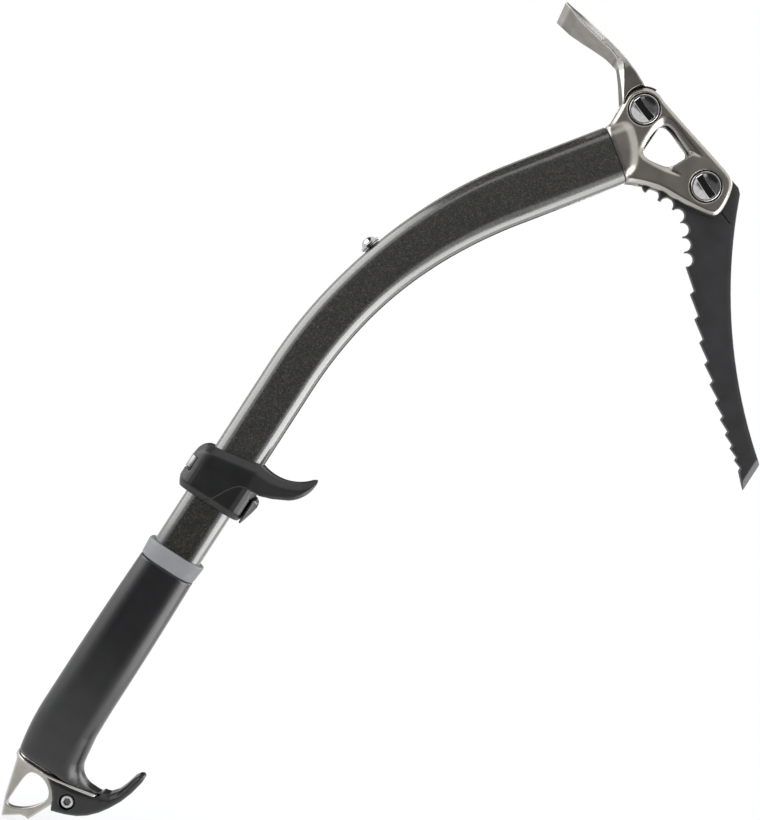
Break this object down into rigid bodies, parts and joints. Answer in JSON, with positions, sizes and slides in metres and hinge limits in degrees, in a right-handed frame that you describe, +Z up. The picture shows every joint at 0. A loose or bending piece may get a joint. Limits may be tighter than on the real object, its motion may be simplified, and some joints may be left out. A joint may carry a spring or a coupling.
{
  "type": "ice climbing tool",
  "caption": "Curved-shaft ice climbing tool with a toothed pick, adze, clip holes, rubber grip, pinky hook, spike and a lever-locked sliding finger trigger.",
  "frame": {"origin": "on the lower shaft's axis, at the middle of the hand grip", "axes": "+Z up the straight lower shaft from the spike to the head, +X the palm side, which the pick points to, and y = 0 the tool's middle plane"},
  "size_m": [0.2486, 0.0412, 0.5043],
  "materials": {
    "shaft_paint": "dark olive-grey metallic paint with a fine sparkle",
    "grip_rubber": "matte black rubber",
    "collar_rubber": "matte grey rubber",
    "satin_steel": "satin warm grey with polished bevels",
    "dark_steel": "matte dark grey with ground bright edges",
    "black_plastic": "matte black",
    "bright_steel": "polished"
  },
  "bodies": {
    "tool": {"shaft": "shaft_paint", "grip": "grip_rubber", "grip_collar": "collar_rubber", "spike": "satin_steel", "spike_pin": "bright_steel", "pinky_hook": "black_plastic", "hook_bolt": "bright_steel", "hook_nut": "bright_steel", "head": "satin_steel", "pick": "dark_steel", "adze": "satin_steel", "upper_bolt": "bright_steel", "lower_bolt": "bright_steel", "upper_nut": "bright_steel", "lower_nut": "bright_steel", "leash_insert": "bright_steel", "leash_washer": "bright_steel", "leash_screw": "bright_steel"},
    "trigger": {"trigger_body": "black_plastic", "lever_pin": "bright_steel"},
    "lever": {"lock_lever": "black_plastic", "hinge_plate": "bright_steel", "tension_screw": "bright_steel"}
  },
  "joints": [
    {"name": "trigger_slide", "type": "slide", "parent": "tool", "child": "trigger", "axis": [0, 0, 1], "range_m": [-0.027, 0.03]},
    {"name": "lever_hinge", "type": "hinge", "parent": "trigger", "child": "lever", "pos_m": [-0.0174, 0.003, 0.1185], "axis": [0, 0, 1], "range_deg": [0, 100]}
  ]
}
